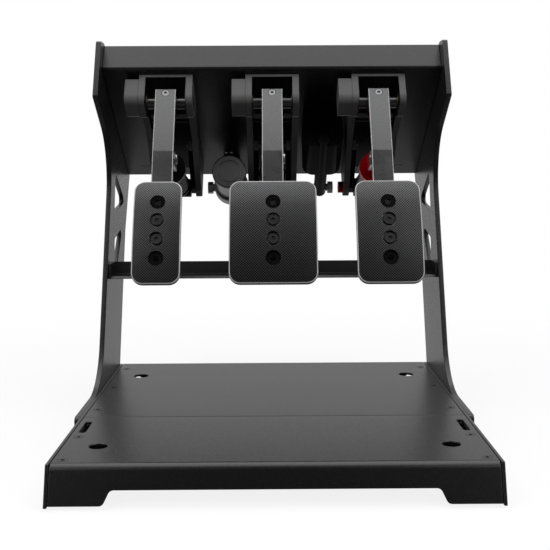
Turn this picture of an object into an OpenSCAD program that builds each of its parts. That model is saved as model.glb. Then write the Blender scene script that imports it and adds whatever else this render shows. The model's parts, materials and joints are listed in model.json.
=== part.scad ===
// Sim racing pedal set: three hanging pedals under a sloping deck, in a free-standing steel frame.
// X runs across the pedals, Y from the driver to the back, Z up from the floor, in millimetres.

/* [Heel plate] */
// Width of the heel plate
heel_w = 390; // [370:1:440]
// Depth of the heel plate
heel_d = 400; // [390:1:430]
// Height of the heel plate's top face above the floor
heel_h = 37; // [34:1:50]
// Thickness of the folded sheets
sheet_t = 3; // [2:0.5:4]
// Lean of the front lip from the vertical
lip_lean = 20; // [5:1:30]
// Outer radius of the bend at the front lip
lip_bend_r = 8; // [5:0.5:9]
// Depth of the front lip between its feet
lip_drop = 21; // [15:1:26]
// Width of each foot of the front lip
foot_w = 47; // [35:1:80]
// How much narrower the gap between the feet is at its top, on each side
foot_flare = 6; // [2:1:12]
// Radius of the feet's lower inner corners
foot_round = 5; // [2:0.5:6]
// Gap between the front lip's feet and the underside of the base rails
foot_clear = 1.5; // [1:0.5:3]
// Depth of the rear lip
rear_lip = 18; // [10:1:24]
// Distance of the joint between the plate's two sheets from the bend of the front lip
seam_y = 146; // [138:1:160]
// Gap between the plate's two sheets
seam_gap = 0.4; // [0.3:0.1:1]

/* [Heel plate holes] */
// Diameter of the four rig holes
rig_hole_d = 17; // [10:0.5:20]
// Spacing of the rig holes across the plate
rig_hole_x = 324; // [300:1:326]
// Spacing of the rig holes along the plate
rig_hole_y = 281; // [250:1:300]
// Distance of the front rig holes from the bend of the front lip
rig_hole_front = 49; // [35:1:60]
// Length of the slot at each side
slot_l = 38; // [20:1:45]
// Width of the slot at each side
slot_w = 6.5; // [5:0.5:9]
// Distance of the slots' middle from the bend of the front lip
slot_front = 111; // [105:1:140]

/* [Base rails] */
// Thickness of the base rails
rail_t = 3; // [2:0.5:5]
// Width of the rails' flanges
rail_flange = 22; // [18:1:23]
// Gap between the heel plate's edge and a rail
rail_gap = 0.5; // [0.2:0.1:1]
// Thickness of the rubber feet
foot_pad_t = 2; // [1:0.5:4]
// Diameter of the rubber feet
foot_pad_d = 20; // [14:1:22]
// Distance of the rubber feet from the ends of the rails
foot_pad_inset = 40; // [20:1:90]

/* [Uprights] */
// Thickness of the upright plates
upright_t = 6; // [4:0.5:10]
// Distance of the toe's front end from the bend of the front lip
toe_front = 144; // [120:1:170]
// Lean of the column's front and rear edges from the vertical
column_lean = 22.5; // [19:0.5:25]
// Where the column's front edge meets the heel plate's level
column_front = 272; // [262:1:280]
// Where the column's rear edge meets the heel plate's level
column_rear = 398; // [385:1:400]
// Fillet between the toe and the column
toe_fillet = 75; // [50:1:90]
// Fillet between the column and the head
head_fillet = 66; // [50:1:70]
// Depth of the head below the deck
head_drop = 47; // [42:1:52]
// Height of the head above the deck, square to it
head_rise = 38; // [36:1:45]
// How far the head reaches behind the deck
head_over = 5; // [3:1:12]
// How far the nose reaches in front of the deck
nose_over = 9; // [4:1:14]
// Lean of the head's front edge from the vertical
nose_lean = 26; // [20:1:34]
// Height of the head's flat top above the heel plate
head_top = 399; // [396:1:404]
// Corner radius of the head's rear end
head_round = 20; // [10:1:30]
// Height of the upper window's top corner, along the column
window_top = 266; // [260:1:270]
// Height of the lower window's top corner, along the column
window_mid = 190; // [186:1:194]
// Height of the lower window's bottom corner, along the column
window_foot = 116; // [110:1:125]
// Metal between the column's front edge and the upper window
window_rim = 28; // [26:1:34]

/* [Cross bar] */
// Distance of the cross bar's web from the bend of the front lip
bar_y = 357; // [352:1:364]
// Height of the cross bar's underside above the heel plate
bar_z = 119.5; // [112:0.5:128]
// Height of the cross bar's web
bar_h = 18; // [16:1:24]
// Depth of the cross bar's flange
bar_flange = 28; // [24:1:30]
// Bevel along the front edge of the cross bar's flange
bar_bevel = 2.5; // [0.5:0.5:2.5]

/* [Deck] */
// Slope of the pedal deck
deck_slope = 34; // [32:0.5:36]
// Length of the deck down its slope
deck_l = 225; // [221:1:240]
// Distance of the deck's front edge from the bend of the front lip
deck_front = 324.4; // [318:0.2:330]
// Height of the deck's front edge above the heel plate
deck_rise = 367; // [362:1:370]
// Height of the deck's front band
band_h = 35; // [30:1:37]
// Outer radius of the deck's and the cross bar's bends
fold_r = 3.5; // [3:0.5:6]
// Height of the deck's rear lip and side flanges
deck_lip = 26; // [22:1:30]

/* [Pedals] */
// Spacing of the three pedals
pedal_pitch = 125; // [122:1:140]
// Width of the clutch pad
clutch_pad_w = 52; // [40:1:70]
// Width of the brake pad
brake_pad_w = 95; // [60:1:110]
// Width of the throttle pad
throttle_pad_w = 71; // [50:1:90]
// Height of the pads, along their curve's chord
pad_h = 118; // [112:1:130]
// Thickness of the pads
pad_t = 6; // [5:0.5:8]
// Corner radius of the pads
pad_round = 12; // [6:1:16]
// Radius of the pads' convex face
pad_bow = 370; // [300:10:600]
// Pitch of the pads' hole rows
pad_hole_pitch = 21.5; // [19:0.5:24]
// Diameter of the pads' counterbores
pad_hole_d = 16; // [13:0.5:17]
// How far the hole rows sit above the pads' middle
pad_hole_lift = 1; // [-2:1:5]
// Depth of the mount between the arm and the pad
pad_mount_d = 24; // [18:1:30]
// Height of the mount between the arm and the pad
pad_mount_h = 60; // [54:1:70]
// Wall of the mount between the arm and the pad
pad_mount_wall = 4; // [3:0.5:6]
// Distance from the arm's bend to the pad's middle
pad_reach = 108; // [102:1:114]

/* [Arms] */
// Width of the arms
arm_w = 24; // [22:1:26]
// Thickness of the arms
arm_t = 8; // [6:0.5:9]
// Lean of the upper arm, from square to the deck
arm_tilt = 4; // [2:0.5:6]
// Bend of the arm
arm_bend = 5; // [3:0.5:8]
// Height of the arm's end above the pivot
arm_top = 10.5; // [9.5:0.5:13]
// Distance from the pivot to the bend
arm_upper = 74; // [70:1:78]
// Length of the arm past the bend
arm_lower = 148; // [145:1:155]
// Diameter of the pivot axle
axle_d = 14; // [12:0.5:15]
// Distance of the pivot down the deck from its front edge
pivot_u = 31; // [30:0.5:34]
// Distance of the pivot below the deck
pivot_v = 26; // [24:0.5:30]
// Distance of the fork pin down the deck from its front edge
pin_u = 43; // [42:0.5:46]
// Distance of the fork pin below the deck
pin_v = 97; // [94:0.5:102]
// Diameter of the fork pin
pin_d = 8; // [6:0.5:9]

/* [Brackets] */
// Outer width of the brackets
bracket_w = 63; // [60:1:68]
// Thickness of the brackets' cheeks
cheek_t = 8; // [6:0.5:9]
// Thickness of the brackets' webs
web_t = 4; // [3:0.5:6]
// Distance of the brackets' front from the deck's front edge
bracket_front = 10; // [6:0.5:12]
// Metal around the pivot bearings
cheek_rim = 12; // [11:0.5:14]
// Metal around the trunnion bolts
eye_rim = 10.5; // [9.5:0.5:13]
// Depth of the cheeks between the pivot and the trunnion
cheek_waist = 27; // [22:1:30]
// Width of the sensor cases
sensor_w = 16; // [12:1:18]
// Gap between the sensor cases and the deck
sensor_drop = 6; // [4:1:8]

/* [Struts] */
// Distance of the trunnions down the deck from its front edge
trunnion_u = 190; // [184:1:196]
// Distance of the trunnions below the deck
trunnion_v = 43; // [41:1:46]
// Diameter of the trunnion blocks
trunnion_d = 24; // [22:1:28]
// Diameter of the strut rods
rod_d = 10; // [8:0.5:11]
// Diameter of the trunnion bolts
bolt_d = 10; // [8:0.5:11]
// Outer diameter of the springs
spring_od = 32; // [28:1:34]
// Diameter of the springs' wire
wire_d = 4; // [3:0.25:4.5]
// Number of curls in each spring
curls = 8; // [6:1:9]
// Diameter of the preload nuts
nut_d = 40; // [36:1:42]
// Thickness of the preload nuts
nut_t = 10; // [8:1:14]
// Distance of the preload nuts from the fork pin
nut_set = 46; // [44:1:52]

/* [Brake hydraulics] */
// Outer diameter of the master cylinder
master_d = 34; // [30:1:36]
// Length of the master cylinder in front of its trunnion
master_l = 76; // [70:1:84]
// Diameter of the slave cylinder's end cap
slave_cap_d = 43; // [38:1:44]
// Distance of the slave cylinder's front down the deck
slave_u = 122; // [118:1:126]
// Distance of the slave cylinder's front below the deck
slave_v = 62; // [58:1:64]
// Rise of the slave cylinder towards the deck
slave_rise = 17; // [15:0.5:18]
// Width of the accumulator
accumulator_w = 49; // [44:1:52]
// Length of the accumulator
accumulator_l = 65; // [50:1:75]
// Depth of the accumulator below the deck
accumulator_h = 50; // [46:1:54]
// Diameter of the accumulator's tube
tube_d = 16; // [14:0.5:18]

/* [Fits] */
// Radial running clearance of turning and sliding fits
run_gap = 0.05; // [0.02:0.01:0.1]
// Side clearance between moving faces
side_gap = 0.4; // [0.3:0.05:0.6]
// Radial play of the fork on its pin
pin_play = 1; // [0.9:0.05:1.2]
// Clearance around fixed screws and seats
seat_gap = 0.1; // [0.05:0.05:0.2]

/* [Hidden] */
$fn = 64;
PEDALS = ["clutch", "brake", "throttle"];
PEDAL_PARTS = ["bracket", "bearings", "sensor_case", "arm", "axle", "pad_mount", "pad", "pedal_screws",
    "fork_pin"];
STRUT_PARTS = ["trunnion", "trunnion_bolts", "rod", "preload_nut", "spring"];
FRAME_NODES = ["left_upright", "right_upright", "left_base_rail", "right_base_rail", "heel_plate",
    "rear_plate", "heel_screws", "upright_screws", "rubber_feet", "cross_bar", "pedal_deck", "bracket_screws",
    "controller_case"];
BRAKE_NODES = ["brake_master_cylinder", "brake_gland", "brake_pushrod", "brake_cross_bolt", "slave_cylinder",
    "slave_cap", "accumulator", "accumulator_tube"];

// Across the frame: inner and outer faces of the rails, then the uprights
rail_in = heel_w / 2 + rail_gap;
rail_out = rail_in + rail_t;
half_w = rail_out + upright_t;

// Along the frame: the front lip's outer face starts bend_out before its bend
bend_out = sheet_t * 0.9;
rail_foot = foot_pad_t;
lip_foot = rail_foot + foot_clear;
lip_slope = tan(lip_lean);
front_most = bend_out + (heel_h - rail_foot) * lip_slope;
head_end = deck_l + head_over;
rear_most = deck_at(head_end - head_round, head_round - head_rise).x + head_round;
y_shift = (front_most - rear_most) / 2;

// Deck frame: u down the slope, v square to it and away from it
function deck_at(u, v) = [deck_front + u * cos(deck_slope) - v * sin(deck_slope),
    deck_rise - u * sin(deck_slope) - v * cos(deck_slope)];

// Screws: shank, head and depth of the small socket screws
screw_d = 6;
head_d = 12;
head_h = 3;
heel_screw_d = 5;
heel_head_d = 9;
heel_head_h = 2;
heel_screw_inset = 9;
heel_screw_rows = [10, 78, 175, 272, 369];
frame_screw_l = upright_t + min(rail_t, sheet_t);
bracket_screw_x = 15;
bracket_screw_rows = [62, 150];
bracket_head_h = 6;
bracket_head_d = 10;

// Bends of the deck and the cross bar are never tighter than their sheet, nor the bar's bevel wider
fold = max(fold_r, sheet_t + 0.5);
bevel = min(bar_bevel, sheet_t - 0.5);
// Bracket: inner half width, and the ends of its cheeks
cheek_out = bracket_w / 2;
cheek_in = cheek_out - cheek_t;
nose_v = pivot_v + cheek_rim;
nose_u = pivot_u + cheek_rim;
waist_from = 12;
waist_to = 60;
waist_round = 20;
seat_rim = 1;
liner_in = max(spring_od / 2 + seat_rim, master_d / 2) + side_gap + seat_gap;
liner_front = 124;
liner_rise = 12;
liner_set = 3;
rib_u = 72;
rib_v = 17;
rib_d = 10;
bush_wall = 2.5;
bush_flange = 1;

// Arm: faces of the upper arm in the pedal's own frame
arm_back = -axle_d / 2;
arm_front = arm_back - arm_t;
arm_head_d = 9;
arm_head_h = 3;
arm_head_rim = 1.5;
arm_screw_z = arm_top - arm_head_rim - arm_head_d / 2;
lug_w = 13.2;
lug_wall = 4;
lug_reach = 30;
lug_zone = 60;
lug_r = pin_d / 2 + lug_wall;

// Strut frame: origin at the trunnion, y along the rod and away from the driver
strut_rise = atan2(pin_v - trunnion_v, trunnion_u - pin_u);
strut_l = norm([trunnion_u - pin_u, pin_v - trunnion_v]);
fork_in = lug_w / 2 + side_gap;
fork_wall = 4.5;
fork_out = fork_in + fork_wall;
fork_rim = 4;
fork_r = pin_d / 2 + pin_play + fork_rim;
fork_clear = 8;
fork_root = 10;
fork_slot = lug_r + fork_clear;
fork_l = fork_slot + fork_root;
rod_from = fork_l - fork_root / 2 - strut_l;
pin_head_t = 2.5;
pin_head_rim = 2;
seat_front = -20;
seat_t = 4;
rod_tail = 14;
nut_y = nut_set - strut_l;
spring_from = nut_y + nut_t + side_gap;
spring_to = seat_front - side_gap;
coil_r = (spring_od - wire_d) / 2;

// Brake hydraulics
gland_t = 8;
master_bore = 24;
piston_t = 10;
piston_set = 100;
piston_y = piston_set - strut_l;
slave_barrel_d = 38;
slave_flange_d = 45;
slave_x = -(cheek_out + side_gap + slave_flange_d / 2);
slave_cap_t = 9;
slave_bolt_y = (trunnion_u - slave_u) * cos(slave_rise) + (slave_v - trunnion_v) * sin(slave_rise);
slave_flange_t = 20;
slave_flange_y = slave_bolt_y - slave_flange_t / 2;
slave_seam = 2;
slave_bevel = 1.5;
slave_foot_w = 22;
slave_foot_l = 18;
slave_foot_set = 60;
accumulator_gap = 7;
accumulator_x = cheek_out + accumulator_gap + accumulator_w / 2;
accumulator_u = 85;
cross_left = slave_x - slave_flange_d / 2 - 1.5;
cross_right = accumulator_x + tube_d / 2 + 2;
cross_head_t = 7;

// Direction from one point to another
function unit(v) = v / norm(v);

// Points that round corner b of the path a, b, c
function corner_arc(a, b, c, r) = r == 0 ? [b] : let(
    p = unit(a - b),
    q = unit(c - b),
    half = acos(p * q) / 2,
    centre = b + unit(p + q) * r / sin(half),
    first = b + p * r / tan(half) - centre,
    last = b + q * r / tan(half) - centre,
    from = atan2(first.y, first.x),
    sweep = atan2(cross(first, last), first * last),
    steps = r < 8 ? 4 : r < 30 ? 7 : 14
) [for (i = [0:steps]) centre + r * [cos(from + sweep * i / steps), sin(from + sweep * i / steps)]];

// Outline through corners given as [x, y, radius]
function rounded(corners) = let(n = len(corners), flat = [for (c = corners) [c[0], c[1]]])
    [for (i = [0:n - 1]) each corner_arc(flat[(i + n - 1) % n], flat[i], flat[(i + 1) % n], corners[i][2])];

// Where the line through p along d meets the line through q along e
function meet(p, d, q, e) = p + d * cross(q - p, e) / cross(d, e);

// A profile drawn in the Y-Z plane, extruded across X from x0 to x1
module across(x0, x1, profile)
    translate([x0, 0, 0]) rotate([90, 0, 90]) linear_extrude(x1 - x0) polygon(profile);

// A round bar along X from x0 to x1
module round_x(x0, x1, d) translate([x0, 0, 0]) rotate([0, 90, 0]) cylinder(h = x1 - x0, d = d);

// A round bar along Y from y0 to y1
module round_y(y0, y1, d) translate([0, y0, 0]) rotate([-90, 0, 0]) cylinder(h = y1 - y0, d = d);

// Frames that the pieces are drawn in
module on_stand() translate([0, y_shift, heel_h]) children();
module on_deck() on_stand() translate([0, deck_front, deck_rise]) rotate([-deck_slope, 0, 0]) children();
module at_pedal(i) on_deck() translate([(i - 1) * pedal_pitch, 0, 0]) children();
module on_pivot() translate([0, pivot_u, -pivot_v]) rotate([arm_tilt, 0, 0]) children();
module on_lower_arm() on_pivot() translate([0, arm_front, -arm_upper]) rotate([arm_bend, 0, 0]) children();
module on_pad() on_lower_arm() translate([0, 0, -pad_reach]) children();
module on_strut() translate([0, trunnion_u, -trunnion_v]) rotate([strut_rise, 0, 0]) children();
module mirror_x() for (side = [0, 1]) mirror([side, 0, 0]) children();

// Upright plate: toe, leaning column and head, in heel-plate coordinates
column_run = [sin(column_lean), cos(column_lean)];
deck_run = [cos(deck_slope), -sin(deck_slope)];
deck_square = [-sin(deck_slope), -cos(deck_slope)];
nose = deck_at(-nose_over, head_drop);
head_corner = meet([column_front, 0], column_run, nose, deck_run);
brow = meet(nose, [sin(nose_lean), cos(nose_lean)], [0, head_top], [1, 0]);
crown = meet(deck_at(0, -head_rise), deck_run, [0, head_top], [1, 0]);
nape = meet([column_rear, 0], column_run, deck_at(head_end, 0), deck_square);
base_z = rail_foot - heel_h;
nape_round = 40;
heel_round = 20;
upright_profile = rounded([
    [toe_front, base_z, 3],
    [toe_front, 0, 5],
    [column_front, 0, toe_fillet],
    [head_corner.x, head_corner.y, head_fillet],
    [nose.x, nose.y, 3],
    [brow.x, brow.y, 4],
    [crown.x, crown.y, 12],
    [deck_at(head_end, -head_rise).x, deck_at(head_end, -head_rise).y, head_round],
    [nape.x, nape.y, nape_round],
    [column_rear, 0, heel_round],
    [column_rear, base_z, 6]
]);

// Truss windows of the upright, set off from the column's front edge and the head's underside
window_round = 6;
window_drop = [42, 54];
window_width = 84;
window_step = 4;
lower_drop = 13;
lower_rim = [72, 14, 28];
function on_column(along, inward) = [column_front, 0] + along * column_run + inward * [1, 0];
function window(corners) = rounded([for (c = corners) [c.x, c.y, window_round]]);
window_upper = window([
    on_column(window_top, window_rim),
    on_column(window_top - window_drop[0], window_rim + window_width),
    on_column(window_top - window_drop[1], window_rim + window_step)
]);
window_lower = window([
    on_column(window_mid, window_rim + lower_rim[0]),
    on_column(window_mid - lower_drop, window_rim + lower_rim[1]),
    on_column(window_foot, window_rim + lower_rim[2])
]);

// Places of the uprights' screws: base rail, deck flange and cross bar
rail_screw_z = base_z / 2;
rail_screw_rows = [168, 270, 372];
deck_screw_rows = [30, 112, 196];
deck_screw_v = -15;
bar_screw = [bar_y - bar_flange / 2, bar_z + bar_h * 0.6];
upright_screw_places = concat([for (y = rail_screw_rows) [y, rail_screw_z]],
    [for (u = deck_screw_rows) deck_at(u, deck_screw_v)], [bar_screw]);

module countersunk(length, gap) {
    round_x(-length, 0, screw_d + 2 * gap);
    translate([-head_h, 0, 0]) rotate([0, 90, 0])
        cylinder(h = head_h, d1 = screw_d + 2 * gap, d2 = head_d + 2 * gap);
}

module upright() {
    color("#26272a") on_stand() difference() {
        across(rail_out, half_w, upright_profile);
        across(rail_out - 1, half_w + 1, window_upper);
        across(rail_out - 1, half_w + 1, window_lower);
        for (p = upright_screw_places) translate([half_w, p.x, p.y]) countersunk(upright_t + 1, seat_gap);
    }
}

module upright_screws() {
    color("#303236") on_stand() mirror_x()
        for (p = upright_screw_places) translate([half_w, p.x, p.y]) difference() {
            countersunk(frame_screw_l, 0);
            round_x(-head_h * 0.8, 1, 4);
        }
}

// Base rail: a channel with its flanges turned in, its front end raked like the lip
module base_rail() {
    flange_in = rail_in - rail_flange;
    flange_front = lip_bend_r + 1;
    color("#232427") on_stand() difference() {
        union() {
            across(rail_in, rail_out, [[-bend_out, 0], [heel_d, 0], [heel_d, base_z], [-front_most, base_z]]);
            translate([flange_in, flange_front, -sheet_t - rail_t])
                cube([rail_flange, heel_d - flange_front, rail_t]);
            translate([flange_in, flange_front, base_z]) cube([rail_flange, heel_d - flange_front, rail_t]);
        }
        for (y = heel_screw_rows) translate([heel_w / 2 - heel_screw_inset, y, -sheet_t - rail_t - 1])
            cylinder(h = rail_t + 2, d = heel_screw_d + 2 * seat_gap);
        for (y = rail_screw_rows) translate([0, y, rail_screw_z])
            round_x(rail_in - 1, rail_out + 1, screw_d + 2 * seat_gap);
        slot_cut(-sheet_t - rail_t - 1, rail_t + 2);
    }
}

// Slot beside the heel plate's edge
module slot_cut(z, h) {
    half = (slot_l - slot_w) / 2;
    translate([heel_w / 2 - heel_screw_inset, slot_front, z]) {
        for (end = [-half, half]) translate([0, end, 0]) cylinder(h = h, d = slot_w);
        translate([-slot_w / 2, -half, 0]) cube([slot_w, 2 * half, h]);
    }
}

// Heel plate: a front sheet with a raked lip on two feet, and a rear sheet with a plain lip
module heel_plate() {
    color("#2b2c2f") on_stand() difference() {
        heel_sheets();
        translate([-heel_w, seam_y - seam_gap / 2, -heel_h]) cube([2 * heel_w, heel_d, 2 * heel_h]);
    }
}

module rear_plate() {
    color("#2b2c2f") on_stand() difference() {
        heel_sheets();
        translate([-heel_w, seam_y + seam_gap / 2 - heel_d, -heel_h]) cube([2 * heel_w, heel_d, 2 * heel_h]);
    }
}

module heel_sheets() {
    lip_z = lip_foot - heel_h;
    wall = sheet_t / cos(lip_lean);
    profile = rounded([
        [heel_d, 0, 0],
        [-bend_out, 0, lip_bend_r],
        [-bend_out + lip_z * lip_slope, lip_z, 0],
        [-bend_out + lip_z * lip_slope + wall, lip_z, 0],
        [-bend_out + wall - sheet_t * lip_slope, -sheet_t, lip_bend_r - sheet_t],
        [heel_d, -sheet_t, 0]
    ]);
    gap_half = heel_w / 2 - foot_w;
    foot = [gap_half, lip_z];
    top = [gap_half - foot_flare, -lip_drop];
    half_gap = concat(
        corner_arc(foot + [2 * foot_round, 0], foot, top, foot_round),
        corner_arc(foot, top, [0, -lip_drop], foot_round)
    );
    gap_profile = concat(
        [[half_gap[0].x, lip_z - 1]],
        half_gap,
        [for (i = [len(half_gap) - 1:-1:0]) [-half_gap[i].x, half_gap[i].y]],
        [[-half_gap[0].x, lip_z - 1]]
    );
    difference() {
        union() {
            across(-heel_w / 2, heel_w / 2, profile);
            translate([rail_flange - heel_w / 2, heel_d - sheet_t, -rear_lip])
                cube([heel_w - 2 * rail_flange, sheet_t, rear_lip]);
        }
        translate([0, heel_d / 2, 0]) rotate([90, 0, 0]) linear_extrude(heel_d) polygon(gap_profile);
        for (x = [-1, 1] * rig_hole_x / 2, y = [0, rig_hole_y])
            translate([x, rig_hole_front + y, -sheet_t - 1]) cylinder(h = sheet_t + 2, d = rig_hole_d);
        mirror_x() {
            slot_cut(-sheet_t - 1, sheet_t + 2);
            for (y = heel_screw_rows) translate([heel_w / 2 - heel_screw_inset, y, 0]) heel_screw(seat_gap);
        }
    }
}

module heel_screw(gap) {
    translate([0, 0, -sheet_t - rail_t]) cylinder(h = sheet_t + rail_t, d = heel_screw_d + 2 * gap);
    translate([0, 0, -heel_head_h])
        cylinder(h = heel_head_h, d1 = heel_screw_d + 2 * gap, d2 = heel_head_d + 2 * gap);
}

module heel_screws() {
    color("#3a3c40") on_stand() mirror_x()
        for (y = heel_screw_rows) translate([heel_w / 2 - heel_screw_inset, y, 0]) difference() {
            heel_screw(0);
            translate([0, 0, -1.5]) cylinder(h = 2, d = 3);
        }
}

module rubber_feet() {
    color("#151515") translate([0, y_shift, 0]) mirror_x()
        for (y = [foot_pad_inset, heel_d - foot_pad_inset])
            translate([rail_in - rail_flange / 2, y, 0]) cylinder(h = foot_pad_t, d = foot_pad_d);
}

// Cross bar: an angle with its flange towards the driver and a tab at each end
module cross_bar() {
    color("#202124") on_stand() difference() {
        union() {
            across(-rail_out, rail_out, rounded([
                [bar_y + sheet_t, bar_z, fold],
                [bar_y + sheet_t, bar_z + bar_h, 0],
                [bar_y, bar_z + bar_h, 0],
                [bar_y, bar_z + sheet_t, fold - sheet_t],
                [bar_y - bar_flange + bevel, bar_z + sheet_t, 0],
                [bar_y - bar_flange, bar_z + sheet_t - bevel, 0],
                [bar_y - bar_flange, bar_z, 0]
            ]));
            mirror_x() translate([rail_out - sheet_t, bar_y - bar_flange, bar_z])
                cube([sheet_t, bar_flange, bar_h]);
        }
        mirror_x() translate([0, bar_screw.x, bar_screw.y])
            round_x(rail_out - sheet_t - 1, rail_out + 1, screw_d + 2 * seat_gap);
    }
}

// Pedal deck: a sheet with a front band, a rear lip and side flanges, all turned up
tie_places = [[-58, 172], [-172, 200], [172, 200]];
tie_slot = [3.5, 2.5];
module pedal_deck() {
    color("#27282b") on_deck() difference() {
        union() {
            across(-rail_out, rail_out, rounded([
                [0, 0, fold],
                [0, band_h, 0],
                [sheet_t, band_h, 0],
                [sheet_t, sheet_t, fold - sheet_t],
                [deck_l - sheet_t, sheet_t, fold - sheet_t],
                [deck_l - sheet_t, deck_lip, 0],
                [deck_l, deck_lip, 0],
                [deck_l, 0, fold]
            ]));
            mirror_x() translate([rail_out - sheet_t, fold, 0])
                cube([sheet_t, deck_l - 2 * fold, deck_lip]);
        }
        for (i = [0:2], x = [-1, 1] * bracket_screw_x, u = bracket_screw_rows)
            translate([(i - 1) * pedal_pitch + x, u, -1])
                cylinder(h = sheet_t + 2, d = screw_d + 2 * seat_gap);
        mirror_x() for (u = deck_screw_rows) translate([0, u, -deck_screw_v])
            round_x(rail_out - sheet_t - 1, rail_out + 1, screw_d + 2 * seat_gap);
        for (p = tie_places, side = [-1, 1]) translate([p.x + side * tie_slot.x, p.y, 0])
            cube([tie_slot.x, tie_slot.y, 3 * sheet_t], center = true);
    }
}

module bracket_screws() {
    color("#3a3c40") for (i = [0:2]) at_pedal(i)
        for (x = [-1, 1] * bracket_screw_x, u = bracket_screw_rows) translate([x, u, 0]) {
            translate([0, 0, -web_t]) cylinder(h = web_t + sheet_t, d = screw_d);
            translate([0, 0, sheet_t]) difference() {
                cylinder(h = bracket_head_h, d = bracket_head_d);
                translate([0, 0, bracket_head_h / 2]) cylinder(h = bracket_head_h, d = 5, $fn = 6);
            }
        }
}

// Controller case on the upper side of the deck, with a socket recess at its rear end
case_w = 52;
case_l = 120;
case_h = 22;
module controller_case() {
    color("#1b1c1e") on_deck() translate([pedal_pitch / 2, deck_l / 2, sheet_t]) difference() {
        linear_extrude(case_h) polygon(rounded([
            [-case_w / 2, -case_l / 2, 4],
            [case_w / 2, -case_l / 2, 4],
            [case_w / 2, case_l / 2, 4],
            [-case_w / 2, case_l / 2, 4]
        ]));
        translate([-6, case_l / 2 - 8, case_h / 2 - 5.5]) cube([12, 9, 11]);
    }
}

// Bracket: a web under the deck between two cheeks that carry the pivot and the trunnion
cheek_profile = rounded([
    [bracket_front, 0, 0],
    [bracket_front, -nose_v, 9],
    [nose_u, -nose_v, 3],
    [nose_u + waist_from, -cheek_waist, 8],
    [nose_u + waist_to, -cheek_waist, waist_round],
    [trunnion_u - eye_rim, -trunnion_v - eye_rim, 9],
    [trunnion_u + eye_rim, -trunnion_v - eye_rim, 9],
    [trunnion_u + eye_rim + 4, 0, 0]
]);
liner_profile = rounded([
    [liner_front, -liner_rise, 3],
    [liner_front, -cheek_waist, 8],
    [trunnion_u - eye_rim, liner_set - trunnion_v - eye_rim, 8],
    [trunnion_u + eye_rim - liner_set, liner_set - trunnion_v - eye_rim, 8],
    [trunnion_u + eye_rim - liner_set, -liner_rise, 3]
]);
module bracket() {
    color("#34363a") difference() {
        union() {
            mirror_x() across(cheek_in, cheek_out, cheek_profile);
            mirror_x() across(liner_in, cheek_in, liner_profile);
            translate([-cheek_in, bracket_front, -web_t])
                cube([2 * cheek_in, trunnion_u + eye_rim - bracket_front, web_t]);
            translate([0, rib_u, -rib_v]) round_x(-cheek_in, cheek_in, rib_d);
        }
        translate([0, pivot_u, -pivot_v])
            round_x(-cheek_out - 1, cheek_out + 1, axle_d + 2 * bush_wall + 2 * seat_gap);
        translate([0, trunnion_u, -trunnion_v]) round_x(-cheek_out - 1, cheek_out + 1, bolt_d + 2 * run_gap);
        for (x = [-1, 1] * bracket_screw_x, u = bracket_screw_rows)
            translate([x, u, -web_t - 1]) cylinder(h = web_t + 2, d = screw_d + 2 * seat_gap);
    }
}

module bearings() {
    outer = axle_d + 2 * bush_wall;
    color("#9a8a5a") translate([0, pivot_u, -pivot_v]) mirror_x() difference() {
        union() {
            round_x(cheek_in, cheek_out, outer);
            round_x(cheek_in - bush_flange, cheek_in, outer + 3);
        }
        round_x(cheek_in - bush_flange - 1, cheek_out + 1, axle_d + 2 * run_gap);
    }
}

// Sensor case on the left cheek, over the axle's end
module sensor_case() {
    color("#2e3033") difference() {
        across(-cheek_out - sensor_w, -cheek_out, rounded([
            [bracket_front, -sensor_drop, 2],
            [bracket_front, -nose_v, 9],
            [nose_u, -nose_v, 3],
            [nose_u, -sensor_drop, 2]
        ]));
        translate([0, pivot_u, -pivot_v])
            round_x(-cheek_out - axle_end - 1, 1 - cheek_out, axle_d + 2 * side_gap);
    }
}

// Axle with the hub that the arm is screwed to
axle_end = 8;
hub_depth = 12;
hub_set = 1.5;
hub_z = [-17, arm_top - hub_set];
hub_screw_l = 6;
module axle() {
    color("#a9abae") on_pivot() difference() {
        union() {
            round_x(-cheek_out - axle_end, cheek_out, axle_d);
            across(-arm_w / 2, arm_w / 2, rounded([
                [arm_back, hub_z[1], 1],
                [arm_back, hub_z[0], 1],
                [hub_depth, hub_z[0], 9],
                [hub_depth, hub_z[1], 9]
            ]));
        }
        translate([0, 0, arm_screw_z])
            round_y(arm_back - 1, arm_back + hub_screw_l + 1, screw_d + 2 * seat_gap);
    }
}

// Arm: a bent flat bar with a lug behind it for the strut's fork
module arm() {
    low = [sin(arm_bend), -cos(arm_bend)];
    back = [cos(arm_bend), sin(arm_bend)] * arm_t;
    knee = [arm_front, -arm_upper];
    tip = knee + arm_lower * low;
    color("#8f9296") difference() {
        union() {
            on_pivot() across(-arm_w / 2, arm_w / 2, rounded([
                [arm_front, arm_top, 1.5],
                [knee.x, knee.y, 6],
                [tip.x, tip.y, 2],
                [tip.x + back.x, tip.y + back.y, 2],
                [knee.x + arm_t, knee.y + arm_t * tan(arm_bend / 2), 4],
                [arm_back, arm_top, 1.5]
            ]));
            intersection() {
                union() {
                    translate([0, pin_u, -pin_v]) round_x(-lug_w / 2, lug_w / 2, 2 * lug_r);
                    translate([-lug_w / 2, pin_u - lug_reach, -pin_v - lug_r])
                        cube([lug_w, lug_reach, 2 * lug_r]);
                }
                on_lower_arm() translate([-arm_w, arm_t / 2, -lug_zone])
                    cube([2 * arm_w, lug_zone, 2 * lug_zone]);
            }
        }
        translate([0, pin_u, -pin_v]) round_x(-lug_w, lug_w, pin_d + 2 * seat_gap);
        on_pivot() translate([0, 0, arm_screw_z]) {
            round_y(arm_front - 1, arm_back + 1, screw_d + 2 * seat_gap);
            round_y(arm_front - 1, arm_front + arm_head_h, arm_head_d + 2 * seat_gap);
        }
        on_pad() pad_screw_places() round_y(-1, arm_t + 1, screw_d + 2 * seat_gap);
    }
}

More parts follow.
